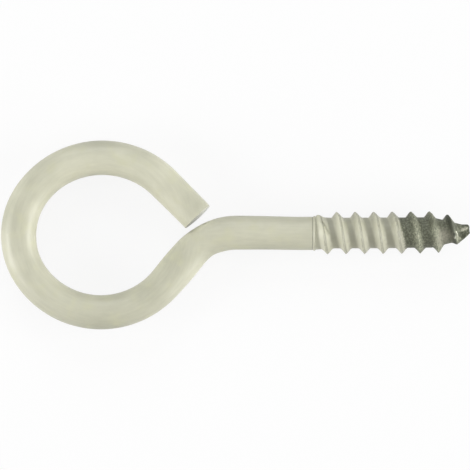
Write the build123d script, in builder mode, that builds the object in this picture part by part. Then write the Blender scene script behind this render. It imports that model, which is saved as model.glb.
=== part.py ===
from build123d import *

import os
from math import ceil, cos, pi, radians, sin, sqrt

# A screw eye for wood: one length of wire, bent to an open eye at one end and rolled to a thread at the other.
# The shank lies along X with its point towards +X, and the eye lies flat in XY.
# The origin is on the shank's axis at the shoulder, where the plain wire ends and the thread begins.

# Wire
wire_diameter = 3.7
cut_chamfer = 0.18

# Bends, with radii on the wire's centre line and angles from the shank's axis in degrees
shank_length = 8.2
neck_bend_radius = 6.85
neck_angle = 49.9
lower_side_radius = 9.2
back_bend_radius = 7.6
back_bend_angle = 66.8
upper_side_radius = 9.4
tail_angle = 44.9
eye_drop = 0.33
mouth_gap = 0.5

# Thread, right-handed, with a sharp crest that spreads into the root over a hollow foot
thread_length = 16.85
pitch = 2.0
crest_diameter = 4.64
root_diameter = 3.36
foot_width = 1.34
knee_width = 0.62
knee_height_share = 0.45
first_crest = 1.1
run_in_length = 1.6
run_in_step = 0.05
points_per_turn = 12
slope_share = 0.01

# Point, pinched off to a blunt nib with a slanting break
point_length = 3.5
nib_diameter = 1.76
nib_length = 0.85
break_angle = 40.0
break_height = 0.2

wire_radius = wire_diameter / 2
crest_radius = crest_diameter / 2
root_radius = root_diameter / 2
nib_radius = nib_diameter / 2
point_start = thread_length - point_length
point_taper = point_length - nib_length
nose_height = crest_radius - nib_radius
nose_radius = (point_taper**2 + nose_height**2) / (2 * nose_height)

# The thread's lines within one pitch: where each lies from the crest, and its share of the ridge's height
line_offsets = (-foot_width / 2, -knee_width / 2, 0, knee_width / 2, foot_width / 2)
line_height_shares = (0, knee_height_share, 1, knee_height_share, 0)
first_turn = -ceil((first_crest + pitch - foot_width / 2) / pitch)
last_turn = ceil((thread_length - first_crest + foot_width / 2) / pitch)


def core_at(along):
    """Radius of the thread's root, which tapers to the nib over the point."""
    into_point = min(max(0, along - point_start), point_taper)
    return root_radius - (root_radius - nib_radius) * into_point / point_taper


def crest_at(along):
    """Radius of the thread's crest, which rises from the wire and rounds off over the point."""
    into_run_in = min(max(0, along), run_in_length)
    into_point = min(max(0, along - point_start), point_taper)
    run_in_drop = (crest_radius - wire_radius + run_in_step) * (1 - into_run_in / run_in_length)
    return crest_radius - run_in_drop - nose_radius + sqrt(nose_radius**2 - into_point**2)


def thread_point(line, turn):
    """Point of one of the thread's lines, a number of turns after the first crest on the upper side."""
    if line == len(line_offsets):
        return thread_point(0, turn + 1)
    crest = first_crest + pitch * turn
    along = crest + line_offsets[line]
    radius = core_at(along) + (crest_at(crest) - core_at(crest)) * line_height_shares[line]
    return Vector(along, -radius * sin(2 * pi * turn), radius * cos(2 * pi * turn))


def helix_turn(line, turn):
    """One turn of a thread's line, in step with the other lines and smooth from turn to turn."""
    steps = [step / points_per_turn for step in range(points_per_turn + 1)]
    points = [thread_point(line, turn + step) for step in steps]
    ways = [
        (thread_point(line, end + slope_share) - thread_point(line, end - slope_share)) / (2 * slope_share)
        for end in (turn, turn + 1)
    ]
    return Edge.make_spline(points, tangents=ways, parameters=steps, scale=False)


def thread_end(turn):
    """Flat face and ramp that close the thread towards its axis where its strips start or stop."""
    lines = [thread_point(line, turn) for line in range(len(line_offsets) + 1)]
    axis_start = Vector(lines[0].X, 0, 0)
    axis_end = Vector(lines[-1].X, 0, 0)
    flat = Face(Wire.make_polygon([axis_start, *lines, axis_end]))
    ramp = Face.make_surface_from_curves(helix_turn(0, turn), Edge.make_line(axis_start, axis_end))
    return [flat, ramp]


# Thread: strips between neighbouring lines, cut square at the shoulder and broken off at the point
thread_strips = [
    Face.make_surface_from_curves(helix_turn(line, turn), helix_turn(line + 1, turn))
    for turn in range(first_turn, last_turn)
    for line in range(len(line_offsets))
]
break_way = Vector(cos(radians(break_angle)), -sin(radians(break_angle)))

with BuildPart() as thread:
    add(Solid(Shell(thread_strips + thread_end(first_turn) + thread_end(last_turn))))
    split(bisect_by=Plane.YZ, keep=Keep.TOP)
    split(bisect_by=Plane.YZ.offset(thread_length), keep=Keep.BOTTOM)
    split(bisect_by=Plane((thread_length, break_height), z_dir=break_way), keep=Keep.BOTTOM)

# The eye's two sides run on into the back bend, whose centre lies a little below the shank's axis
lower_side_angle = 90 + neck_angle - back_bend_angle / 2
upper_side_angle = 90 + tail_angle - back_bend_angle / 2
arm_drop = (
    lower_side_radius * cos(radians(neck_angle))
    - neck_bend_radius * (1 - cos(radians(neck_angle)))
    - (lower_side_radius - back_bend_radius) * sin(radians(back_bend_angle / 2))
    + eye_drop
)

with BuildPart() as screw_eye:
    with BuildLine() as bent_wire:
        shank = Line((0, 0), (-shank_length, 0))
        neck = JernArc(shank @ 1, shank % 1, neck_bend_radius, neck_angle)
        arm = PolarLine(neck @ 1, arm_drop / sin(radians(neck_angle)), direction=neck % 1)
        lower_side = JernArc(arm @ 1, arm % 1, lower_side_radius, -lower_side_angle)
        back = JernArc(lower_side @ 1, lower_side % 1, back_bend_radius, -back_bend_angle)
        upper_side = JernArc(back @ 1, back % 1, upper_side_radius, -upper_side_angle)
        # The tail stops where its near corner is the mouth's gap away from the neck
        tail_way = upper_side % 1
        near_corner = upper_side @ 1 + tail_way.rotate(Axis.Z, -90) * wire_radius - neck.center_point
        reach = neck_bend_radius + wire_radius + mouth_gap
        approach = near_corner.dot(tail_way)
        tail_length = -approach - sqrt(approach**2 - near_corner.length**2 + reach**2)
        tail = PolarLine(upper_side @ 1, tail_length, direction=tail_way)
    with BuildSketch(Plane(shank @ 0, z_dir=shank % 0)):
        Circle(wire_radius)
    sweep(path=bent_wire.line)
    chamfer(screw_eye.faces().sort_by_distance(tail @ 1)[0].edges(), cut_chamfer)
    add(thread.part)

screw_eye.part.label = "screw_eye"
os.makedirs("parts", exist_ok=True)
export_step(screw_eye.part, "parts/screw_eye.step")
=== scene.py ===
"""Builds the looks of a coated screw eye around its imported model.

The screw eye's lengths are in millimetres, the studio's in metres and angles in radians. The frame is the
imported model's: the shank lies along X with the point towards +X, the eye lies flat in XY with its cut end
towards +Y, and the origin is on the shank's axis at the shoulder.
"""

import logging
from dataclasses import dataclass
from enum import Enum
from math import cos, pi, radians, sin, sqrt, tan
from typing import Any, Union

import bpy
import numpy as np
from mathutils import Matrix, Vector, noise


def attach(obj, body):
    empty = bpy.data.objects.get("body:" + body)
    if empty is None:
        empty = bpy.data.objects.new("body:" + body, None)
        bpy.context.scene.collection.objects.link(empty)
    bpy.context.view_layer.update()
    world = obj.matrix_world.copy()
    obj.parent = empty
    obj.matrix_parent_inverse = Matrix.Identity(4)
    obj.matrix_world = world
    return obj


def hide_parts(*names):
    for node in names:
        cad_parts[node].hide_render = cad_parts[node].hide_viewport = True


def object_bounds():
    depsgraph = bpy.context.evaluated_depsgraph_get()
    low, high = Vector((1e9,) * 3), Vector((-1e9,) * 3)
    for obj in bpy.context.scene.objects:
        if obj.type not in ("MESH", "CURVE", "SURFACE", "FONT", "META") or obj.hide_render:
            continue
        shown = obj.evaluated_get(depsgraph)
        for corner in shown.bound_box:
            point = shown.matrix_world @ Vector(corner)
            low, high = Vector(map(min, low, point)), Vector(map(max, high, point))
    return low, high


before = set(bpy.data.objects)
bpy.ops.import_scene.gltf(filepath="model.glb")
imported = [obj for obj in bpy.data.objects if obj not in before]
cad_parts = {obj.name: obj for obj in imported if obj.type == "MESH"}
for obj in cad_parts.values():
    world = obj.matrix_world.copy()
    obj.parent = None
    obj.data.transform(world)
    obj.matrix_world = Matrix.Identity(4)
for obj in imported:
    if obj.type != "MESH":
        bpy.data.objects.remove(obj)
cad_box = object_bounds()

# Metres in a millimetre
MM = 0.001
# Turns round the shank from +Y to the top, where the first crest is measured
TOP_OF_TURN = 0.25
# What a noise node gives on average
NOISE_MEAN = 0.5
NODE = "screw_eye"
BODY = "root"
BAKE_MAP = "OFBake"

Colour = tuple[float, float, float]
Place = tuple[float, float, float]
Number = Union[float, "Figure"]
Array = np.ndarray
Socket = bpy.types.NodeSocket
log = logging.getLogger("screw_eye")


def eased(values: Array, start: float, end: float) -> Array:
    """Smooth step of values, from 0 at start to 1 at end."""
    share = np.clip((values - start) / (end - start), 0, 1)
    return share * share * (3 - 2 * share)


def hump(values: Array, middle: float, width: float) -> Array:
    """Bell-shaped rise that is 1 at its middle and falls off over its width."""
    return np.exp(-(((values - middle) / width) ** 2))


def unevenness(points: Array, grain: float) -> Array:
    """Smooth unevenness at points in space, about -1 to 1 and the same in each run."""
    flat = (points / grain).reshape(-1, 3)
    return np.array([noise.noise(Vector(place)) for place in flat]).reshape(points.shape[:-1])


@dataclass(frozen=True)
class Stretch:
    """One stretch of the wire's centre line, going back from the shoulder: straight, or an even bend."""

    length: float
    turn: float = 0.0

    def at(self, start: complex, heading: float, way: Array) -> tuple[Array, Array]:
        """Places and headings along the stretch.

        Args:
            start: Where the stretch begins, with X as the real part and Y as the imaginary part.
            heading: Direction in which it begins.
            way: Distances along it.

        Returns:
            The places, as complex numbers, and the headings there.
        """
        headings = heading + self.turn * way / self.length
        if not self.turn:
            return start + way * np.exp(1j * heading), headings
        radius = self.length / self.turn
        return start - 1j * radius * (np.exp(1j * headings) - np.exp(1j * heading)), headings


@dataclass(frozen=True)
class Swell:
    """A place along the wire where bending made it a little thicker or thinner, and moved it sideways."""

    back: float
    reach: float
    thickening: float
    leftward: float = 0.0


@dataclass(frozen=True)
class BentWire:
    """The plain round wire and its bends, from the shoulder back round the eye to the cut end."""

    radius: float = 1.85
    shank_length: float = 8.2
    neck_bend_radius: float = 6.85
    neck_angle: float = radians(49.9)
    lower_side_radius: float = 9.2
    back_bend_radius: float = 7.6
    back_bend_angle: float = radians(66.8)
    upper_side_radius: float = 9.4
    tail_angle: float = radians(44.9)
    eye_drop: float = 0.33
    mouth_gap: float = 0.5
    waver: float = 0.012
    waver_grain: float = 5.0
    swells: tuple[Swell, ...] = (
        Swell(2.0, 6.0, -0.05),
        Swell(11.8, 1.3, -0.075, -0.03),
        Swell(15.8, 2.0, 0.08, 0.01),
        Swell(27.0, 5.0, 0.0, -0.016),
        Swell(40.0, 4.5, 0.05, -0.07),
        Swell(53.0, 5.0, 0.01, -0.03),
        Swell(64.5, 4.0, -0.055),
    )

    def stretches(self) -> list[Stretch]:
        """The wire's stretches in order: shank, neck, arm, lower side, back, upper side and tail.

        Returns:
            The stretches, of which the tail is as long as the mouth's gap leaves room for.
        """
        half_back = self.back_bend_angle / 2
        arm_drop = (
            self.lower_side_radius * cos(self.neck_angle)
            - self.neck_bend_radius * (1 - cos(self.neck_angle))
            - (self.lower_side_radius - self.back_bend_radius) * sin(half_back)
            + self.eye_drop
        )
        lower_turn = pi / 2 + self.neck_angle - half_back
        upper_turn = pi / 2 + self.tail_angle - half_back
        bent = [
            Stretch(self.shank_length),
            Stretch(self.neck_bend_radius * self.neck_angle, self.neck_angle),
            Stretch(arm_drop / sin(self.neck_angle)),
            Stretch(self.lower_side_radius * lower_turn, -lower_turn),
            Stretch(self.back_bend_radius * self.back_bend_angle, -self.back_bend_angle),
            Stretch(self.upper_side_radius * upper_turn, -upper_turn),
        ]
        end, heading = self.walk(bent, np.array([sum(stretch.length for stretch in bent)]))
        neck_centre = complex(-self.shank_length, -self.neck_bend_radius)
        tail_way = np.exp(1j * heading[0])
        near_corner = (end[0] - 1j * tail_way * self.radius - neck_centre) / tail_way
        reach = self.neck_bend_radius + self.radius + self.mouth_gap
        tail_length = -near_corner.real - sqrt(reach**2 - near_corner.imag**2)
        return [*bent, Stretch(tail_length)]

    def walk(self, stretches: list[Stretch], back: Array) -> tuple[Array, Array]:
        """Follows the centre line.

        Args:
            stretches: The stretches in order from the shoulder.
            back: Distances back from the shoulder.

        Returns:
            Places as complex numbers, and headings away from the shoulder.
        """
        places = np.zeros(back.shape, complex)
        headings = np.zeros(back.shape)
        start, heading, begun = complex(0, 0), pi, 0.0
        for stretch in stretches:
            on_it = back >= begun
            places[on_it], headings[on_it] = stretch.at(start, heading, back[on_it] - begun)
            end_place, end_heading = stretch.at(start, heading, np.array([stretch.length]))
            start, heading, begun = end_place[0], end_heading[0], begun + stretch.length
        return places, headings

    def length(self) -> float:
        """Length of the wire from the shoulder to the cut end."""
        return sum(stretch.length for stretch in self.stretches())

    def thickening(self, back: Array) -> Array:
        """How much the radius differs from the plain wire's, at distances back from the shoulder."""
        return sum(swell.thickening * hump(back, swell.back, swell.reach) for swell in self.swells)

    def leftward(self, back: Array) -> Array:
        """How far the wire's middle lies to the left of its way back, at distances back from the shoulder."""
        return sum(swell.leftward * hump(back, swell.back, swell.reach) for swell in self.swells)


@dataclass(frozen=True)
class CutEnd:
    """The wire's sheared end in the eye's mouth: slightly slanted, with a rim that rolls over outside."""

    slant: float = radians(-2.2)
    lean: float = radians(-3.2)
    overhang: float = 0.08
    rim_round: float = 0.06
    roll_over: float = 0.05
    roll_length: float = 0.9
    dome: float = 0.12
    shear_length: float = 1.2
    shear_rings: int = 11
    rim_rings: int = 7
    face_rings: int = 7

    def offset(self, across: Array, up: Array) -> Array:
        """How far the slanted face lies back from a square cut, at places across and above the middle."""
        return -across * tan(self.slant) - up * tan(self.lean)


@dataclass(frozen=True)
class RolledThread:
    """The right-handed wood thread: hollow flanks up to a narrow crest, in which rolling left a seam."""

    pitch: float = 2.0
    crest_radius: float = 2.285
    root_radius: float = 1.66
    root_rise: float = 0.1
    root_rise_length: float = 2.4
    rear_reach: float = 0.545
    rear_narrowing: float = 0.06
    front_reach: float = 0.59
    front_narrowing: float = -0.05
    flank_power: float = 1.4
    tip_round: float = 0.08
    first_crest: float = 1.04
    wobble: float = 0.03
    run_in_length: float = 1.2
    run_in_step: float = 0.05
    seam_depth: float = 0.05
    seam_width: float = 0.05
    seam_offset: float = 0.08
    seam_full_ridge: float = 0.57125
    lip_height: float = 0.08
    lip_width: float = 0.11
    lip_along: float = 0.1
    groove_depth: float = 0.04
    groove_width: float = 0.06
    groove_along: float = -0.1
    shoulder: float = 0.24
    shoulder_half: float = 0.07
    lap_along: float = 1.36
    lap_angle: float = radians(58)
    lap_height: float = 0.1
    lap_length: float = 0.17
    lap_width: float = 0.3
    notch_start: float = radians(52)
    notch_end: float = radians(86)
    notch_along: float = 0.86
    notch_run: float = 0.62
    notch_width: float = 0.13
    notch_depth: float = 0.2
    notch_overrun: float = 0.4
    notch_fade: float = 0.5

    def from_crest(self, along: Any, around: Any, cosine: Any) -> Any:
        """Distance past the nearest crest, from angles and their cosines, in arrays or in a shader."""
        turned = (around / (2 * pi) - TOP_OF_TURN) * self.pitch - cosine * self.wobble
        return (along - self.first_crest - turned + self.pitch / 2) % self.pitch - self.pitch / 2

    def ridge_share(self, past: Array, around: Array) -> Array:
        """Share of the ridge's height at a distance from its crest.

        Args:
            past: Distances along the axis from the nearest crest.
            around: Angles round the axis.

        Returns:
            Shares from 0 at the root to 1 at the crest.
        """
        rear = self.rear_reach - self.rear_narrowing * np.cos(around)
        front = self.front_reach - self.front_narrowing * np.cos(around)
        reach = np.where(past < 0, rear, front)
        past_tip = np.hypot(past, self.tip_round) - self.tip_round
        return np.clip(1 - past_tip / reach, 0, 1) ** self.flank_power

    def notch(self, along: Array, around: Array) -> Array:
        """Depth of the slanting notch that the rolling dies left in the first turn.

        Args:
            along: Places along the axis.
            around: Angles round the axis.

        Returns:
            Depths towards the axis.
        """
        share = (around - self.notch_start) / (self.notch_end - self.notch_start)
        first, last = -self.notch_overrun, 1 + self.notch_overrun
        begun = eased(share, first, first + self.notch_fade)
        unended = 1 - eased(share, last - self.notch_fade, last)
        middle = self.notch_along + self.notch_run * share
        return self.notch_depth * begun * unended * hump(along, middle, self.notch_width)


@dataclass(frozen=True)
class BrokenPoint:
    """The screw's point: it tapers to a blunt nib, which is broken off on a slant."""

    end: float = 16.85
    length: float = 4.05
    nib_radius: float = 0.88
    nib_length: float = 0.85
    break_angle: float = radians(45)
    break_height: float = -0.08
    corner_round: float = 0.3
    shear_start: float = 13.6
    roughness: float = 0.05
    roughness_grain: float = 0.32
    torn_depth: float = 0.5
    settling_rounds: int = 12
    face_rings: int = 12
    bite_along: float = 15.84
    bite_across: float = 0.14
    bite_way: float = radians(-58)
    bite_width: float = 0.58
    bite_edge: float = 0.13
    bite_run_in: float = 0.78
    bite_depth: float = 0.25

    def into(self, along: Array) -> Array:
        """Share of the taper that lies behind a place along the axis."""
        taper = self.length - self.nib_length
        return np.clip((along - (self.end - self.length)) / taper, 0, 1)

    def bite(self, along: Array, across: Array, around: Array) -> Array:
        """Depth of the hollow that was torn out of the nib's upper side when it broke.

        Args:
            along: Places along the axis.
            across: Places across the axis.
            around: Angles round the axis.

        Returns:
            Depths towards the axis.
        """
        ahead, aside = along - self.bite_along, across - self.bite_across
        past = ahead * cos(self.bite_way) + aside * sin(self.bite_way)
        near_wall = eased(past, 0, self.bite_edge)
        far_wall = 1 - eased(past, self.bite_width, self.bite_width + self.bite_edge)
        begun = eased(ahead, -self.bite_run_in, 0)
        return self.bite_depth * near_wall * far_wall * begun * np.clip(np.sin(around), 0, 1)

    def end_at(self, across: Array) -> Array:
        """Where the metal ends along the axis, at a distance across towards the eye's cut side."""
        return np.minimum(self.end, self.end + (across - self.break_height) * tan(self.break_angle))


@dataclass(frozen=True)
class Coating:
    """How far the off-white coating reaches down the thread, on a slanting line."""

    end: float = 9.52
    slant: float = -0.25
    thickness: float = 0.012
    softness: float = 0.16
    fraying: float = 1.1

    def past_end(self, along: Any, across: Any) -> Any:
        """How far places lie past the coating's end, in arrays or in a shader."""
        return along - self.end - across * self.slant


@dataclass(frozen=True)
class Ramp:
    """A smooth step from 0 at its start to 1 at its end."""

    start: float
    end: float


@dataclass(frozen=True)
class Band:
    """A smooth step up and another down, with 1 between them."""

    rise: Ramp
    fall: Ramp


class Reckoning(Enum):
    """The sums that Math and Vector Math nodes are asked for."""

    ADD = "ADD"
    SUBTRACT = "SUBTRACT"
    MULTIPLY = "MULTIPLY"
    DIVIDE = "DIVIDE"
    POWER = "POWER"
    GREATER = "MAXIMUM"
    REMAINDER = "FLOORED_MODULO"
    SIZE = "ABSOLUTE"
    ANGLE = "ARCTAN2"
    DISTANCE = "DISTANCE"
    PRODUCT = "DOT_PRODUCT"


class Figure:
    """A number in a shader: a node's socket, with operators that add Math nodes."""

    def __init__(self, bench: "ShaderBench", socket: Socket) -> None:
        """Keeps the bench that adds nodes, and the socket that gives the number."""
        self.bench = bench
        self.socket = socket

    def __add__(self, other: Number) -> "Figure":
        """Sum with another number."""
        return self.bench.reckon(Reckoning.ADD, self, other)

    def __sub__(self, other: Number) -> "Figure":
        """This number less another."""
        return self.bench.reckon(Reckoning.SUBTRACT, self, other)

    def __rsub__(self, other: float) -> "Figure":
        """A plain number less this one."""
        return self.bench.reckon(Reckoning.SUBTRACT, other, self)

    def __mul__(self, other: Number) -> "Figure":
        """Product with another number."""
        return self.bench.reckon(Reckoning.MULTIPLY, self, other)

    def __truediv__(self, other: Number) -> "Figure":
        """This number divided by another."""
        return self.bench.reckon(Reckoning.DIVIDE, self, other)

    def __rtruediv__(self, other: float) -> "Figure":
        """A plain number divided by this one."""
        return self.bench.reckon(Reckoning.DIVIDE, other, self)

    def __mod__(self, other: Number) -> "Figure":
        """What is left of this number after whole steps of another."""
        return self.bench.reckon(Reckoning.REMAINDER, self, other)

    def __abs__(self) -> "Figure":
        """This number without its sign."""
        return self.bench.reckon(Reckoning.SIZE, self, 0.0)

    def __pow__(self, other: float) -> "Figure":
        """This number to a plain power."""
        return self.bench.reckon(Reckoning.POWER, self, other)

    def __or__(self, other: "Figure") -> "Figure":
        """The greater of two masks."""
        return self.bench.reckon(Reckoning.GREATER, self, other)

    __radd__ = __add__
    __rmul__ = __mul__


class ShaderBench:
    """A node tree, and the one way in which its nodes are made."""

    # Sockets of a Mix node that mixes colours
    MIX_FIRST = 6
    MIX_SECOND = 7
    MIX_RESULT = 2

    def __init__(self, tree: bpy.types.NodeTree) -> None:
        """Takes a tree and clears it."""
        self.tree = tree
        tree.nodes.clear()

    def node(self, kind: str, settings: dict[str, Any], inputs: dict[Any, Any]) -> bpy.types.Node:
        """Adds a node.

        Args:
            kind: The node's type.
            settings: Its own properties, which are set first.
            inputs: Values or links for its sockets, by name or number.

        Returns:
            The node, set and linked.
        """
        made = self.tree.nodes.new(kind)
        for name, value in settings.items():
            setattr(made, name, value)
        for name, value in inputs.items():
            source = value.socket if isinstance(value, Figure) else value
            if isinstance(source, Socket):
                self.tree.links.new(source, made.inputs[name])
            else:
                made.inputs[name].default_value = source
        return made

    def figure(self, kind: str, settings: dict[str, Any], inputs: dict[Any, Any], output: Any = 0) -> Figure:
        """Adds a node, and gives one of its outputs as a number that is ready for sums."""
        return Figure(self, self.node(kind, settings, inputs).outputs[output])

    def reckon(self, operation: Reckoning, first: Number, second: Number) -> Figure:
        """Adds a Math node for a sum of two numbers."""
        return self.figure("ShaderNodeMath", {"operation": operation.value}, {0: first, 1: second})

    def measure(self, operation: Reckoning, first: Any, second: Any) -> Figure:
        """Adds a Vector Math node for a number that two places or directions give."""
        inputs = {0: first, 1: second}
        return self.figure("ShaderNodeVectorMath", {"operation": operation.value}, inputs, "Value")

    def step(self, value: Figure, ramp: Ramp) -> Figure:
        """Smooth step of a number over a ramp."""
        inputs = {"Value": value, "From Min": ramp.start, "From Max": ramp.end}
        return self.figure("ShaderNodeMapRange", {"interpolation_type": "SMOOTHSTEP"}, inputs)

    def band(self, value: Figure, band: Band) -> Figure:
        """Mask of the numbers within a band."""
        return self.step(value, band.rise) * (1 - self.step(value, band.fall))

    def joined(self, along: Figure, across: Figure, height: Figure) -> Socket:
        """A place put together from its coordinates."""
        return self.node("ShaderNodeCombineXYZ", {}, {0: along, 1: across, 2: height}).outputs[0]

    def grain(self, place: Any, size: float, detail: float = 2.0) -> Figure:
        """Noise with grains of a size, and with finer layers on it."""
        inputs = {"Vector": place, "Scale": 1 / size, "Detail": detail}
        return self.figure("ShaderNodeTexNoise", {}, inputs)

    def distance(self, place: Any, middle: Place) -> Figure:
        """Distance of a place from a fixed one."""
        return self.measure(Reckoning.DISTANCE, place, middle)

    def beyond(self, place: Any, middle: Vector, way: Vector) -> Figure:
        """How far a place lies beyond a fixed one in a direction."""
        return self.measure(Reckoning.PRODUCT, place, way) - middle.dot(way)

    def blend(self, share: Number, first: Any, second: Any) -> Socket:
        """Mixes two colours, each plain or from a socket, with a share of the second."""
        inputs = {0: share, self.MIX_FIRST: self.opaque(first), self.MIX_SECOND: self.opaque(second)}
        return self.node("ShaderNodeMix", {"data_type": "RGBA"}, inputs).outputs[self.MIX_RESULT]

    def mixed(self, share: Number, first: bpy.types.Node, second: bpy.types.Node) -> bpy.types.Node:
        """Mixes two shaders, with a share of the second."""
        return self.node("ShaderNodeMixShader", {}, {0: share, 1: first.outputs[0], 2: second.outputs[0]})

    @staticmethod
    def opaque(colour: Any) -> Any:
        """A plain colour with full alpha added, or a socket as it is."""
        return (*colour, 1.0) if isinstance(colour, tuple) else colour


@dataclass(frozen=True)
class Spot:
    """What the finishes know about a spot, such as how far it is past the nearest crest, and their bench."""

    bench: ShaderBench
    place: Socket
    along: Figure
    across: Figure
    height: Figure
    radius: Figure
    past: Figure
    mottle: Figure
    speckle: Figure

    def near(self, middle: Place, core: float, reach: float) -> Figure:
        """Mask round a fixed place: 1 within its core, and 0 beyond its reach."""
        return 1 - self.bench.step(self.bench.distance(self.place, middle), Ramp(core, reach))


@dataclass(frozen=True)
class DullingAndShadingPlace:
    """A place painted darker where the share is above zero and lighter where it is below: painted shade and
    painted light, some of it also coating made duller by handling.
    """

    middle: Place
    reach: float
    share: float


@dataclass(frozen=True)
class Patch:
    """A place with a colour that fades out from a core: some are colours of the thing's own, others painted
    highlights, shadows and light.
    """

    middle: Place
    reach: float
    colour: Colour
    share: float
    core_share: float = 0.3

    def mask(self, spot: Spot) -> Figure:
        """Share of the patch's colour at a spot."""
        return spot.near(self.middle, self.core_share * self.reach, self.reach) * self.share


@dataclass(frozen=True)
class CreamCoat:
    """The coating's colour: off-white, darker towards -Y, with painted shade and painted light in places,
    some of them also duller coating from handling, painted light on the thread's flanks and in the eye's
    mouth, thinner coat and painted shade in the roots, wear and painted shade along the crests, and painted
    shade in the shoulder's groove.
    """

    coating: Coating
    thread: RolledThread
    cream: Colour = (0.655, 0.645, 0.505)
    shade: Colour = (0.475, 0.471, 0.363)
    stain: Colour = (0.60, 0.595, 0.41)
    # Painted light on the thread's flanks.
    flank_light: Colour = (0.77, 0.76, 0.60)
    # Thinner coat along the thread, and painted shade in the thread's roots.
    thin_and_shaded: Colour = (0.35, 0.345, 0.268)
    # Wear on the crest tips and at the coating's end, and painted shade along the crest line.
    worn_and_shaded: Colour = (0.27, 0.266, 0.205)
    # Painted shade in the groove at the shoulder.
    groove_shade: Colour = (0.30, 0.295, 0.24)
    # Painted shade: the coating goes from cream towards +Y to shade towards -Y, so it is darker towards -Y
    # where less light falls.
    shade_start: float = -31.0
    shade_end: float = 11.0
    cloud_grain: float = 1.1
    cloud_detail: float = 4.0
    cloud_share: float = 0.35
    streak_grain: float = 0.3
    streak_length: float = 2.2
    streak_detail: float = 3.0
    streak_share: float = 0.65
    streaks_straighten: Ramp = Ramp(-14.0, -10.0)
    eye_middle: tuple[float, float] = (-22.8, -0.2)
    eye_radius: float = 8.6
    stain_grain: float = 1.7
    stain_detail: float = 3.0
    stain_edge: Ramp = Ramp(0.48, 0.75)
    stain_share: float = 0.5
    thread_start: Ramp = Ramp(0.35, 0.75)
    least_thinning_share: float = 0.13
    thinning: Ramp = Ramp(-2.0, 11.0)
    thinning_share: float = 0.35
    flank_start: Ramp = Ramp(0.1, 0.24)
    flank_end: Ramp = Ramp(0.5, 0.75)
    flank_share: float = 0.26
    root_edge: Ramp = Ramp(0.62, 0.86)
    root_share: float = 0.36
    # Painted shade in the roots is stronger towards +Y and weaker towards -Y, in place of light from -Y.
    shaded_roots: Ramp = Ramp(-1.4, -0.3)
    root_side_shade_share: float = 0.2
    line_past: float = 0.096
    line_edge: Ramp = Ramp(0.02, 0.11)
    tip_radius: Ramp = Ramp(2.16, 2.3)
    tip_mottle: Ramp = Ramp(0.3, 0.6)
    tip_share: float = 0.7
    worn_and_shaded_share: float = 0.85
    fray_mottle: Ramp = Ramp(0.3, 0.7)
    fray_share: float = 0.6
    groove_reach: float = 0.096
    groove_share: float = 0.7
    # Painted light in the eye's mouth, where the cut end shades the neck.
    painted_mouth_light: Patch = Patch((-12.4, 0.8, 0.3), 1.35, (0.86, 0.85, 0.68), 0.9, core_share=0.2)
    # Painted shade where the share is above zero and painted light where it is below, such as the lifted
    # shade on the neck beside the cut end; some darker places are also coating made duller by handling.
    dulling_and_shading_places: tuple[DullingAndShadingPlace, ...] = (
        DullingAndShadingPlace((-15.3, -2.7, 1.2), 4.2, 0.5),
        DullingAndShadingPlace((-31.8, 1.5, 1.5), 6.0, 0.3),
        DullingAndShadingPlace((-13.7, 5.2, 1.0), 3.2, 0.5),
        DullingAndShadingPlace((-23.0, 9.8, 0.5), 3.6, 0.6),
        DullingAndShadingPlace((-4.0, -2.2, 0.4), 6.5, 0.42),
        DullingAndShadingPlace((-20.0, -8.6, 1.6), 6.0, 0.12),
        DullingAndShadingPlace((-23.0, -10.0, 0.3), 4.0, 0.35),
        DullingAndShadingPlace((-23.0, -6.0, 1.2), 2.6, -0.5),
        DullingAndShadingPlace((-33.2, 2.1, 0.5), 3.0, 0.5),
        DullingAndShadingPlace((-30.1, 2.2, 1.2), 1.8, -0.4),
        DullingAndShadingPlace((-29.6, -3.2, 1.0), 2.5, 0.4),
        DullingAndShadingPlace((-17.6, -6.4, 1.6), 2.6, 0.3),
        DullingAndShadingPlace((-10.4, -0.4, 1.6), 3.5, 0.22),
        DullingAndShadingPlace((-30.4, 7.4, 0.8), 4.5, 0.5),
        DullingAndShadingPlace((-18.2, 8.9, 0.8), 3.4, 0.4),
        DullingAndShadingPlace((-12.5, 2.9, 1.2), 2.4, 0.62),
        DullingAndShadingPlace((-11.9, 1.3, 0.8), 1.6, -0.5),
        DullingAndShadingPlace((-11.4, -2.4, 0.8), 1.6, 0.4),
        DullingAndShadingPlace((-15.6, 2.6, 1.0), 2.8, -0.35),
        DullingAndShadingPlace((-13.1, -4.5, 0.8), 2.6, -0.35),
        DullingAndShadingPlace((-32.0, -3.3, 1.4), 1.6, -0.3),
        DullingAndShadingPlace((-4.5, 0.6, 1.7), 4.0, -0.17),
    )

    def streaks(self, spot: Spot) -> Figure:
        """Noise drawn out along the wire: round the eye's middle, and straight along the shank.

        Args:
            spot: The spot that is coloured.

        Returns:
            The noise, about a half on average.
        """
        bench = spot.bench
        along, across = spot.along - self.eye_middle[0], spot.across - self.eye_middle[1]
        reach = (along * along + across * across) ** 0.5
        drawn = self.streak_grain / self.streak_length
        around = bench.reckon(Reckoning.ANGLE, across, along) * (self.eye_radius * drawn)
        round_eye, straight = (
            bench.grain(bench.joined(first, second, spot.height), self.streak_grain, self.streak_detail)
            for first, second in ((reach, around), (spot.along * drawn, spot.across))
        )
        return round_eye + (straight - round_eye) * bench.step(spot.along, self.streaks_straighten)

    def plain(self, spot: Spot) -> Socket:
        """Colour of the coating on plain wire: streaky, stained, darker towards -Y, with painted shade and
        painted light in places, some of them also duller coating, and painted light in the mouth.

        Args:
            spot: The spot that is coloured.

        Returns:
            Socket of the colour.
        """
        bench = spot.bench
        clouds = bench.grain(spot.place, self.cloud_grain, self.cloud_detail) - NOISE_MEAN
        streaks = self.streaks(spot) - NOISE_MEAN
        dulled_and_shaded = clouds * self.cloud_share + streaks * self.streak_share
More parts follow.
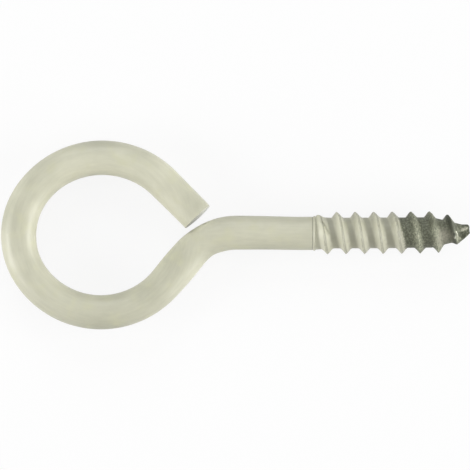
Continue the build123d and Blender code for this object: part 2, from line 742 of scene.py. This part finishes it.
        # Painted shade and painted light at the listed places, some of them also duller coating.
        for shading_place in self.dulling_and_shading_places:
            dulled_and_shaded = dulled_and_shaded + spot.near(shading_place.middle, 0.0, shading_place.reach) * shading_place.share
        # Painted shade: darker towards -Y.
        lit_and_fresh = (spot.across - self.shade_start) / (self.shade_end - self.shade_start) - dulled_and_shaded
        cream = bench.blend(lit_and_fresh, self.shade, self.cream)
        stains = bench.step(bench.grain(spot.place, self.stain_grain, self.stain_detail), self.stain_edge)
        stained = bench.blend(stains * self.stain_share, cream, self.stain)
        # Painted light in the mouth.
        return bench.blend(self.painted_mouth_light.mask(spot), stained, self.painted_mouth_light.colour)

    def colour(self, spot: Spot) -> Socket:
        """Colour of the coating, on plain wire and on the thread.

        Args:
            spot: The spot that is coloured.

        Returns:
            Socket of the colour.
        """
        bench = spot.bench
        on_thread = bench.step(spot.along, self.thread_start)
        from_crest = abs(spot.past)
        from_line = abs(spot.past - self.line_past)
        thinning = bench.step(spot.along, self.thinning) * self.thinning_share + self.least_thinning_share
        thinned = bench.blend(thinning * on_thread, self.plain(spot), self.thin_and_shaded)
        # Painted light on both flanks of each ridge.
        flank = bench.step(from_line, self.flank_start) * (1 - bench.step(from_crest, self.flank_end))
        flanked = bench.blend(flank * on_thread * self.flank_share, thinned, self.flank_light)
        # Thinner coat and painted shade in the roots, with more painted shade towards +Y than towards -Y.
        root_shade_by_side = bench.step(spot.across, self.shaded_roots) * self.root_side_shade_share + self.root_share
        root = bench.step(from_crest, self.root_edge) * root_shade_by_side
        shaded_roots = bench.blend(root * on_thread, flanked, self.thin_and_shaded)
        # Wear and painted shade along the crest line, and wear on mottled crest tips.
        line = 1 - bench.step(from_line, self.line_edge)
        tip = bench.step(spot.radius, self.tip_radius) * bench.step(spot.mottle, self.tip_mottle)
        rubbed_and_shading = bench.blend((line | tip * self.tip_share) * on_thread * self.worn_and_shaded_share, shaded_roots, self.worn_and_shaded)
        past_end = self.coating.past_end(spot.along, spot.across)
        near_end = bench.step(past_end, Ramp(-self.coating.fraying, 0.0))
        fraying = near_end * bench.step(spot.mottle, self.fray_mottle)
        frayed = bench.blend(fraying * self.fray_share, rubbed_and_shading, self.worn_and_shaded)
        # Painted shade in the shoulder's groove.
        groove = 1 - bench.step(abs(spot.along - self.thread.groove_along), Ramp(0.0, self.groove_reach))
        return bench.blend(groove * self.groove_share, frayed, self.groove_shade)


@dataclass(frozen=True)
class CutFace:
    """The sheared face at the wire's end: grey, with painted shade that makes it darker on its inner side."""

    wire: BentWire
    cut_end: CutEnd
    grey: Colour = (0.55, 0.55, 0.48)
    # Painted shade on the face's inner side.
    dark: Colour = (0.36, 0.36, 0.32)
    layer: Band = Band(Ramp(-0.06, 0.0), Ramp(0.25, 0.35))
    beside_shares: Ramp = Ramp(1.05, 1.2)
    inward_shares: Ramp = Ramp(-0.6, 0.4)

    def colour(self, spot: Spot, coat: Socket) -> Socket:
        """Colour of the wire with its sheared face.

        Args:
            spot: The spot that is coloured.
            coat: Colour of the wire elsewhere.

        Returns:
            Socket of the colour.
        """
        bench = spot.bench
        back = np.array([self.wire.length() + self.cut_end.overhang])
        end, heading = self.wire.walk(self.wire.stretches(), back)
        middle = Vector((end[0].real, end[0].imag, 0.0))
        way = Vector((cos(heading[0]), sin(heading[0]), 0.0))
        inner = Vector((way.y, -way.x, 0.0))
        square = way - inner * tan(self.cut_end.slant) - Vector((0.0, 0.0, tan(self.cut_end.lean)))
        aside = bench.beyond(spot.place, middle, inner) / self.wire.radius
        in_wire = 1 - bench.step(abs(aside), self.beside_shares)
        on_face = bench.band(bench.beyond(spot.place, middle, square), self.layer) * in_wire
        # Painted shade: the face grows darker towards its inner side.
        face = bench.blend(bench.step(aside, self.inward_shares), self.grey, self.dark)
        return bench.blend(on_face, coat, face)


@dataclass(frozen=True)
class DullZinc:
    """The bare zinc's colour: mottled, lighter on the crests and flanks from rubbing and from painted light,
    with a painted shadow on the rear flank of the last turns, a rust patch, and painted highlights and
    shadows at the torn point.
    """

    dark: Colour = (0.108, 0.115, 0.078)
    bright: Colour = (0.31, 0.318, 0.23)
    # Colour of the painted shadow.
    shadow_black: Colour = (0.045, 0.05, 0.033)
    base_tone: float = 0.14
    mottle_share: float = 1.6
    speckle_share: float = 2.4
    # Lighter zinc on the crests and flanks: rubbing and painted light.
    rubbed_and_shading: Band = Band(Ramp(-0.6, 0.05), Ramp(0.3, 0.65))
    rubbed_and_light_share: float = 0.5
    point_front_start: Ramp = Ramp(14.2, 14.8)
    point_front_past: Ramp = Ramp(0.1, 0.3)
    # Painted shadow on the rear flank of the last turns.
    flank_shadow: Band = Band(Ramp(-0.5, -0.2), Ramp(0.04, 0.18))
    flank_shadow_start: Ramp = Ramp(14.0, 14.4)
    flank_shadow_share: float = 0.85
    patch_mottle: Ramp = Ramp(0.2, 0.55)
    patches: tuple[Patch, ...] = (
        Patch((12.95, 1.1, 1.5), 1.0, (0.10, 0.105, 0.07), 0.7),
        Patch((13.95, -0.5, 1.4), 1.5, (0.29, 0.275, 0.215), 0.6),
        # Painted shadow on the rear flank of the last ridge.
        Patch((15.08, 0.85, 1.25), 0.8, (0.085, 0.09, 0.065), 0.8),
        # Painted highlights along an edge of the broken nib.
        Patch((16.08, 0.36, 0.8), 0.33, (0.46, 0.455, 0.36), 0.85),
        Patch((16.42, 0.53, 0.68), 0.32, (0.4, 0.395, 0.31), 0.75),
        # Painted shade in the nib's hollow, and a painted shadow below it.
        Patch((15.95, 0.06, 0.55), 0.26, (0.05, 0.055, 0.035), 0.85),
        Patch((15.73, -0.18, 0.65), 0.26, (0.045, 0.05, 0.03), 0.85),
        Patch((16.23, -0.42, 0.7), 0.32, (0.05, 0.055, 0.03), 0.85),
        # Painted shadow beside the last crest.
        Patch((15.14, -0.1, 1.55), 0.26, (0.02, 0.022, 0.012), 0.9),
        # Painted highlights on the lip below the hollow.
        Patch((15.22, -0.45, 1.38), 0.26, (0.4, 0.4, 0.32), 0.8),
        Patch((15.5, -0.5, 0.94), 0.28, (0.36, 0.36, 0.27), 0.85),
        Patch((15.78, -0.55, 0.75), 0.24, (0.3, 0.3, 0.21), 0.7),
        # Painted highlights along the last crest.
        Patch((15.34, 0.12, 1.3), 0.17, (0.72, 0.72, 0.6), 0.95),
        Patch((15.42, -0.1, 1.16), 0.17, (0.78, 0.78, 0.65), 0.95),
        Patch((15.49, -0.26, 1.0), 0.15, (0.72, 0.72, 0.6), 0.95),
    )

    def colour(self, spot: Spot) -> Socket:
        """Colour of the bare zinc.

        Args:
            spot: The spot that is coloured.

        Returns:
            Socket of the colour.
        """
        bench = spot.bench
        # Lighter zinc on the crests and flanks from rubbing and painted light, kept off the front of the
        # point.
        point_front = bench.step(spot.along, self.point_front_start) * bench.step(spot.past, self.point_front_past)
        rubbed_and_shading = bench.band(spot.past, self.rubbed_and_shading) * (1 - point_front)
        mottle = (spot.mottle - NOISE_MEAN) * self.mottle_share
        speckle = (spot.speckle - NOISE_MEAN) * self.speckle_share
        tone = rubbed_and_shading * self.rubbed_and_light_share + mottle + speckle + self.base_tone
        # Painted shadow on the rear flank of the last turns.
        flank_shadow = bench.band(spot.past, self.flank_shadow) * bench.step(spot.along, self.flank_shadow_start)
        colour = bench.blend(flank_shadow * self.flank_shadow_share, bench.blend(tone, self.dark, self.bright), self.shadow_black)
        # Patches: a rust patch and a darker place, and painted highlights and shadows at the point.
        mottled = bench.step(spot.mottle, self.patch_mottle)
        for patch in self.patches:
            colour = bench.blend(patch.mask(spot) * mottled, colour, patch.colour)
        return colour


@dataclass(frozen=True)
class CoatedSteel:
    """The whole finish: a satin off-white coating that gives way to dull zinc at the point."""

    coating: Coating
    thread: RolledThread
    coat: CreamCoat
    cut_face: CutFace
    zinc: DullZinc
    coat_roughness: float = 0.42
    zinc_roughness: float = 0.58
    peel_roughness: float = 0.12
    mottle_roughness: float = 0.3
    zinc_metal: float = 0.2
    specular: float = 0.4
    peel_grain: float = 0.16
    peel_relief_share: float = 0.25
    relief_metres: float = 0.02 * MM
    relief_strength: float = 0.35
    mottle_grain: float = 0.3
    mottle_detail: float = 5.0
    speckle_grain: float = 0.2
    edge_wander: float = 0.75

    def material(self) -> bpy.types.Material:
        """Makes the material.

        Returns:
            A material whose nodes give colour, metal, roughness and fine relief.
        """
        material = bpy.data.materials.new("coated_steel_finish")
        material.use_nodes = True
        bench = ShaderBench(material.node_tree)
        spot = self.spot(bench)
        bare = self.bare_share(spot)
        coat = self.cut_face.colour(spot, self.coat.colour(spot))
        peel = bench.grain(spot.place, self.peel_grain)
        relief = {
            "Strength": self.relief_strength,
            "Distance": self.relief_metres,
            "Height": peel * self.peel_relief_share * (1 - bare) + spot.mottle * bare,
        }
        mean_roughness = self.coat_roughness + bare * (self.zinc_roughness - self.coat_roughness)
        peeled = (peel - NOISE_MEAN) * self.peel_roughness
        mottled = bare * (spot.mottle - NOISE_MEAN) * self.mottle_roughness
        surface = {
            "Base Color": bench.blend(bare, coat, self.zinc.colour(spot)),
            "Metallic": bare * self.zinc_metal,
            "Roughness": mean_roughness + peeled + mottled,
            "Normal": bench.node("ShaderNodeBump", {}, relief).outputs["Normal"],
            "Specular IOR Level": self.specular,
        }
        shader = bench.node("ShaderNodeBsdfPrincipled", {}, surface)
        bench.node("ShaderNodeOutputMaterial", {}, {"Surface": shader.outputs["BSDF"]})
        return material

    def spot(self, bench: ShaderBench) -> Spot:
        """Works out where a spot lies.

        Args:
            bench: Where the nodes go.

        Returns:
            Its place, its distance from the axis and from the nearest crest, and the noise there.
        """
        in_metres = bench.node("ShaderNodeTexCoord", {}, {}).outputs["Object"]
        to_millimetres = {"Vector": in_metres, "Scale": (1 / MM, 1 / MM, 1 / MM)}
        place = bench.node("ShaderNodeMapping", {}, to_millimetres).outputs["Vector"]
        axes = bench.node("ShaderNodeSeparateXYZ", {}, {"Vector": place}).outputs
        along, across, height = (Figure(bench, axes[name]) for name in "XYZ")
        radius = (across * across + height * height) ** 0.5
        around = bench.reckon(Reckoning.ANGLE, height, across)
        past = self.thread.from_crest(along, around, across / radius)
        mottle = bench.grain(place, self.mottle_grain, self.mottle_detail)
        speckle = bench.grain(place, self.speckle_grain)
        return Spot(bench, place, along, across, height, radius, past, mottle, speckle)

    def bare_share(self, spot: Spot) -> Figure:
        """Mask of the bare end: 0 on the coating and 1 on bare zinc."""
        past = self.coating.past_end(spot.along, spot.across) + (spot.speckle - NOISE_MEAN) * self.edge_wander
        return spot.bench.step(past, Ramp(-self.coating.softness, self.coating.softness))


@dataclass(frozen=True)
class ScrewEye:
    """The whole screw eye: one wire, drawn as rings of points from its cut end to its broken point."""

    wire: BentWire
    cut_end: CutEnd
    thread: RolledThread
    point: BrokenPoint
    coating: Coating
    finish: CoatedSteel
    around_count: int = 80
    ring_spacing: float = 0.3
    fine_length: float = 0.6
    coat_edge_rings: int = 3
    crease_angle: float = radians(55)
    map_strips: int = 3
    map_margin: float = 0.01
    map_span: float = 0.96
    sag: float = 0.07
    sag_along: float = -2.0
    sag_reach: float = 4.0
    lift: float = 0.09
    lift_start: float = 4.5
    lift_end: float = 15.5
    bow_back: float = 9.0

    def around(self) -> Array:
        """Angles of the points of one ring, from the side towards +Y over the top."""
        return np.arange(self.around_count) * 2 * pi / self.around_count

    def step(self) -> float:
        """Spacing of the thread's rings, at which the crest runs from point to point."""
        return self.thread.pitch / self.around_count

    def bow(self, along: Array) -> Array:
        """How far the shank and thread are out of line: down at the shoulder, and up towards the point."""
        lifted = self.lift * eased(along, self.lift_start, self.lift_end)
        return lifted - self.sag * hump(along, self.sag_along, self.sag_reach)

    def crest_height(self, along: Array) -> Array:
        """Radius of the crest, which rises out of the wire and rounds off over the point.

        Args:
            along: Places along the axis.

        Returns:
            Distances from the axis.
        """
        into_run_in = np.clip(along / self.thread.run_in_length, 0, 1)
        rise = self.thread.crest_radius - self.wire.radius + self.thread.run_in_step
        taper = self.point.length - self.point.nib_length
        drop = self.thread.crest_radius - self.point.nib_radius
        nose = (taper**2 + drop**2) / (2 * drop)
        nose_drop = nose - np.sqrt(nose**2 - (self.point.into(along) * taper) ** 2)
        return self.thread.crest_radius - rise * (1 - into_run_in) - nose_drop

    def core_radius(self, along: Array) -> Array:
        """Radius of the thread's root, which is shallower at the shoulder and tapers over the point.

        Args:
            along: Places along the axis.

        Returns:
            Distances from the axis.
        """
        thread = self.thread
        fall = thread.root_radius - self.point.nib_radius
        rise = thread.root_rise * (1 - eased(along, 0, thread.root_rise_length))
        return thread.root_radius + rise - fall * self.point.into(along)

    def radius(self, along: Array, around: Array) -> Array:
        """Radius of the surface on the straight end of the wire.

        Args:
            along: Places along the axis, with the shoulder at 0.
            around: Angles round the axis.

        Returns:
            Distances from the axis.
        """
        thread = self.thread
        cosine = np.cos(around)
        past = thread.from_crest(along, around, cosine)
        ridge = self.crest_height(along - past) - self.core_radius(along - past)
        seam = thread.seam_depth * hump(past, thread.seam_offset, thread.seam_width)
        share = thread.ridge_share(past, around)
        threaded = self.core_radius(along) + ridge * share - seam * eased(ridge, 0, thread.seam_full_ridge)
        arc = thread.root_radius * (around - thread.lap_angle)
        lap = hump(along, thread.lap_along, thread.lap_length) * hump(arc, 0, thread.lap_width)
        threaded += thread.lap_height * lap - thread.notch(along, around)
        past_coat = self.coating.past_end(along, threaded * cosine)
        threaded -= self.coating.thickness * eased(past_coat, 0, self.coat_edge_rings * self.step())
        threaded -= self.point.bite(along, threaded * cosine, around)
        into_corner = np.clip(1 - (self.point.end - along) / self.point.corner_round, 0, 1)
        threaded -= self.point.corner_round * (1 - np.sqrt(1 - into_corner**2)) * (1 + cosine) / 2
        lip = thread.lip_height * hump(along, thread.lip_along, thread.lip_width)
        groove = thread.groove_depth * hump(along, thread.groove_along, thread.groove_width)
        plain = self.wire.radius + self.wire.thickening(-along) + lip - groove
        on_thread = eased(along - thread.shoulder, -thread.shoulder_half, thread.shoulder_half)
        return plain + (threaded - plain) * on_thread

    def tail_rings(self) -> Array:
        """Rings of the cut end and of the wire from there to the shoulder.

        Returns:
            Points by ring and by place round the ring.
        """
        cut, radius, around = self.cut_end, self.wire.radius, self.around()
        full = self.wire.length() + cut.overhang
        face = np.linspace(0, 1, cut.face_rings + 1)[1:]
        rim = np.linspace(pi / 2, 0, cut.rim_rings + 1)[1:]
        coarse = np.linspace(full - cut.shear_length, self.fine_length, round(full / self.ring_spacing))
        fine = np.arange(self.fine_length - self.step(), 0, -self.step())
        near_cut = np.linspace(full - cut.rim_round, full - cut.shear_length, cut.shear_rings + 2)[1:-1]
        back = np.concatenate([
            full + cut.dome * (1 - face**2),
            full - cut.rim_round * (1 - np.sin(rim)),
            near_cut,
            coarse,
            fine,
        ])
        inner = radius - cut.rim_round
        reach = np.concatenate([
            inner * face,
            inner + cut.rim_round * np.cos(rim),
            np.full(len(near_cut) + len(coarse) + len(fine), radius),
        ])
        reach *= 1 + self.wire.thickening(back) / radius
        backs, arounds = np.meshgrid(back, around, indexing="ij")
        reaches = np.repeat(reach[:, None], len(around), axis=1)
        straight = backs < self.fine_length + self.step() / 2
        reaches = np.where(straight, self.radius(-backs, arounds), reaches)
        rolled = eased(backs, full - cut.roll_length, full) ** 2 * (1 - np.cos(arounds)) / 2
        reaches = reaches - cut.roll_over * rolled * reaches / radius
        sheared = eased(backs, full - cut.shear_length, full - cut.rim_round)
        across, up = reaches * np.cos(arounds), reaches * np.sin(arounds)
        centre, heading = self.wire.walk(self.wire.stretches(), backs - sheared * cut.offset(across, up))
        side = np.exp(1j * (heading - pi / 2))
        flat = centre + side * (across - self.wire.leftward(backs))
        points = np.stack([flat.real, flat.imag, up], axis=-1)
        sideways = side * np.cos(arounds)
        outward = np.stack([sideways.real, sideways.imag, np.sin(arounds)], axis=-1)
        waver = unevenness(points, self.wire.waver_grain) * eased(backs, 0, self.fine_length)
        points = points + outward * (self.wire.waver * waver)[..., None]
        points[..., 1] += self.bow(points[..., 0]) * eased(-backs, -self.bow_back, 0)
        return points

    def point_rings(self) -> Array:
        """Rings of the thread from the shoulder to the broken point, and of the broken face.

        Returns:
            Points by ring and by place round the ring.
        """
        point, around = self.point, self.around()
        straight = np.arange(0, point.shear_start, self.step())
        shares = np.linspace(0, 1, round((point.end - point.shear_start) / self.step()) + 1)
        along, arounds = np.meshgrid(straight, around, indexing="ij")
        ends = np.full(len(around), point.end)
        for _ in range(point.settling_rounds):
            ends = (ends + point.end_at(self.radius(ends, around) * np.cos(around))) / 2
        start = straight[-1] + self.step()
        along = np.concatenate([along, start + (ends - start) * shares[:, None]])
        arounds = np.concatenate([arounds, np.repeat(around[None], len(shares), axis=0)])
        reach = self.radius(along, arounds)
        inward = np.linspace(1, 0, point.face_rings + 1)[1:-1]
        face_reach = reach[-1] * inward[:, None]
        reach = np.concatenate([reach, face_reach])
        arounds = np.concatenate([arounds, np.repeat(around[None], len(inward), axis=0)])
        along = np.concatenate([along, point.end_at(face_reach * np.cos(around))])
        points = np.stack([along, reach * np.cos(arounds), reach * np.sin(arounds)], axis=-1)
        torn = eased(points[..., 0] - point.end_at(points[..., 1]), -point.torn_depth, 0)
        pits = np.minimum(unevenness(points, point.roughness_grain), 0)
        points[..., 0] += point.roughness * torn * pits
        points[..., 1] += self.bow(points[..., 0])
        return points

    def build(self) -> bpy.types.Object:
        """Makes the screw eye's mesh and dresses it.

        Returns:
            The object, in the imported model's frame.
        """
        rings = np.concatenate([self.tail_rings(), self.point_rings()])
        count, around_count = rings.shape[:2]
        first, last = rings[0].mean(axis=0), rings[-1].mean(axis=0)
        vertices = np.concatenate([rings.reshape(-1, 3), [first, last]]) * MM
        ring, place = np.meshgrid(np.arange(count - 1), np.arange(around_count), indexing="ij")
        ring, place = ring.ravel(), place.ravel()
        corners = np.stack([
            np.stack([ring, place, ring, place + 1, ring + 1, place + 1], axis=1),
            np.stack([ring, place, ring + 1, place + 1, ring + 1, place], axis=1),
        ], axis=1).reshape(-1, 3, 2)
        triangles = corners[..., 0] * around_count + corners[..., 1] % around_count
        places = np.arange(around_count)
        following = (places + 1) % around_count
        last_ring = (count - 1) * around_count
        start_fan = np.stack([np.full(around_count, count * around_count), following, places], axis=1)
        end_centre = np.full(around_count, count * around_count + 1)
        end_fan = np.stack([end_centre, last_ring + places, last_ring + following], axis=1)
        mesh = bpy.data.meshes.new("coated_wire")
        mesh.from_pydata(vertices.tolist(), [], np.concatenate([triangles, start_fan, end_fan]).tolist())
        mesh.validate()
        mesh.shade_smooth()
        mesh.set_sharp_from_angle(angle=self.crease_angle)
        self.lay_map(mesh, rings, corners)
        mesh.materials.append(self.finish.material())
        made = bpy.data.objects.new("coated_wire", mesh)
        bpy.context.scene.collection.objects.link(made)
        return made

    def lay_map(self, mesh: bpy.types.Mesh, rings: Array, corners: Array) -> None:
        """Lays the surface out flat in a few strips, for textures.

        Args:
            mesh: The mesh that gets the map.
            rings: Points by ring and by place round the ring.
            corners: Ring and place of each corner of each triangle between rings.
        """
        steps = np.linalg.norm(np.diff(rings, axis=0), axis=-1).mean(axis=1)
        way = np.concatenate([[0], np.cumsum(steps)])
        strip_length = way[-1] / self.map_strips
        strip = np.minimum(way[corners[:, 0, 0]] // strip_length, self.map_strips - 1)[:, None]
        across = (way[corners[..., 0]] - strip * strip_length) / strip_length
        up = corners[..., 1] / self.around_count
        laid = np.stack([
            self.map_margin + self.map_span * across,
            (strip + self.map_margin + self.map_span * up) / self.map_strips,
        ], axis=-1)
        tip = np.zeros((self.around_count, 3, 2))
        fans = np.concatenate([tip + laid[0, 0], tip + laid[-1, 1]])
        layer = mesh.uv_layers.new(name=BAKE_MAP)
        layer.uv.foreach_set("vector", np.concatenate([laid, fans]).astype(np.float32).ravel())


@dataclass(frozen=True)
class Softbox:
    """A large soft lamp that faces the origin."""

    name: str
    azimuth: float
    elevation: float
    power: float
    colour: Colour = (1.0, 1.0, 1.0)
    distance: float = 0.4
    width: float = 0.2

    def build(self) -> None:
        """Hangs the lamp."""
        lamp = bpy.data.lights.new(self.name, "AREA")
        lamp.shape = "SQUARE"
        lamp.size = self.width
        lamp.energy = self.power
        lamp.color = self.colour
        made = bpy.data.objects.new(self.name, lamp)
        back = Vector((
            cos(self.elevation) * cos(self.azimuth),
            cos(self.elevation) * sin(self.azimuth),
            sin(self.elevation),
        ))
        made.location = back * self.distance
        made.rotation_euler = back.to_track_quat("Z", "Y").to_euler()
        made.visible_camera = False
        bpy.context.scene.collection.objects.link(made)


@dataclass(frozen=True)
class Studio:
    """The plain white floor, the soft lamps, the room's light and the camera."""

    image_side: int = 470
    pixel: float = 0.10797 * MM
    origin_column: float = 313.31
    origin_row: float = 232.84
    roll: float = radians(0.149)
    lens: float = 180.0
    sensor: float = 36.0
    floor_half: float = 3.0
    floor_colour: Colour = (0.9, 0.9, 0.9)
    floor_bounce: Colour = (0.42, 0.42, 0.42)
    floor_glow: float = 0.87
    white: Colour = (1.0, 1.0, 1.0)
    white_light: float = 1.0
    room_light: float = 0.15
    view_depth_share: float = 10.0
    lamps: tuple[Softbox, ...] = (
        Softbox("overhead_softbox", radians(90), radians(78), 0.245, width=0.28),
        Softbox("right_softbox", radians(0), radians(16), 1.25),
        Softbox("right_near_softbox", radians(-30), radians(16), 0.61),
        Softbox("left_softbox", radians(190), radians(16), 1.02),
        Softbox("near_softbox", radians(225), radians(30), 0.31),
        Softbox("far_softbox", radians(100), radians(30), 0.58, (0.98, 1.0, 1.02)),
    )

    def build(self, floor_height: float) -> None:
        """Sets up the floor, light and camera.

        Args:
            floor_height: Height of the object's lowest point.
        """
        self.build_floor(floor_height)
        self.build_room()
        for lamp in self.lamps:
            lamp.build()
        self.build_camera()
        bpy.context.scene.view_settings.view_transform = "Standard"

    def seen_share(self, bench: ShaderBench) -> Figure:
        """Mask of the rays by which a thing is seen, also in metal or through glass.

        Args:
            bench: Where the nodes go.

        Returns:
            1 for these rays, and 0 for those by which it lights other things.
        """
        rays = bench.node("ShaderNodeLightPath", {}, {}).outputs
        seen = Figure(bench, rays["Is Camera Ray"])
        return seen | Figure(bench, rays["Is Glossy Ray"]) | Figure(bench, rays["Is Transmission Ray"])

    def build_floor(self, floor_height: float) -> None:
        """Lays the floor, which looks white but keeps the object's shadow.

        Args:
            floor_height: Height at which it lies.
        """
        mesh = bpy.data.meshes.new("floor")
        half = self.floor_half
        corners = [(-half, -half, 0), (half, -half, 0), (half, half, 0), (-half, half, 0)]
        mesh.from_pydata(corners, [], [range(len(corners))])
        floor = bpy.data.objects.new("floor", mesh)
        floor.location.z = floor_height
        bpy.context.scene.collection.objects.link(floor)
        material = bpy.data.materials.new("floor_paper")
        material.use_nodes = True
        bench = ShaderBench(material.node_tree)
        paper = bench.node("ShaderNodeBsdfDiffuse", {}, {"Color": bench.opaque(self.floor_colour)})
        white = bench.node("ShaderNodeEmission", {}, {"Strength": self.white_light})
        bounce = bench.node("ShaderNodeBsdfDiffuse", {}, {"Color": bench.opaque(self.floor_bounce)})
        glowing = bench.mixed(self.floor_glow, paper, white)
        mixed = bench.mixed(self.seen_share(bench), bounce, glowing)
        bench.node("ShaderNodeOutputMaterial", {}, {"Surface": mixed.outputs[0]})
        mesh.materials.append(material)

    def build_room(self) -> None:
        """Lights the room evenly, and shows it white."""
        world = bpy.data.worlds.new("room")
        world.use_nodes = True
        bpy.context.scene.world = world
        bench = ShaderBench(world.node_tree)
        fill, white = (
            bench.node("ShaderNodeBackground", {}, {"Color": bench.opaque(self.white), "Strength": light})
            for light in (self.room_light, self.white_light)
        )
        mixed = bench.mixed(self.seen_share(bench), fill, white)
        bench.node("ShaderNodeOutputWorld", {}, {"Surface": mixed.outputs[0]})

    def build_camera(self) -> None:
        """Hangs the camera straight over the object, framed as in the photograph."""
        data = bpy.data.cameras.new("camera")
        data.sensor_width = self.sensor
        data.lens = self.lens
        middle = self.image_side / 2
        aside = Vector((middle - self.origin_column, self.origin_row - middle, 0.0)) * self.pixel
        distance = self.image_side * self.pixel * self.lens / self.sensor
        data.clip_end = self.view_depth_share * distance
        camera = bpy.data.objects.new("camera", data)
        turn = Matrix.Rotation(self.roll, 4, "Z")
        camera.matrix_world = turn @ Matrix.Translation(aside + Vector((0.0, 0.0, distance)))
        bpy.context.scene.collection.objects.link(camera)
        bpy.context.scene.camera = camera


def main() -> None:
    """Builds the screw eye and the studio."""
    logging.basicConfig(level=logging.INFO, format="%(name)s: %(message)s")
    thread, coating = RolledThread(), Coating()
    wire, cut_end = BentWire(), CutEnd()
    finish = CoatedSteel(coating, thread, CreamCoat(coating, thread), CutFace(wire, cut_end), DullZinc())
    screw_eye = ScrewEye(wire, cut_end, thread, BrokenPoint(), coating, finish).build()
    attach(screw_eye, BODY)
    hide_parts(NODE)
    log.info("%s has %d triangles", screw_eye.name, len(screw_eye.data.polygons))
    Studio().build(cad_box[0].z)
    log.info("studio is set up")


if __name__ == "__main__":
    main()
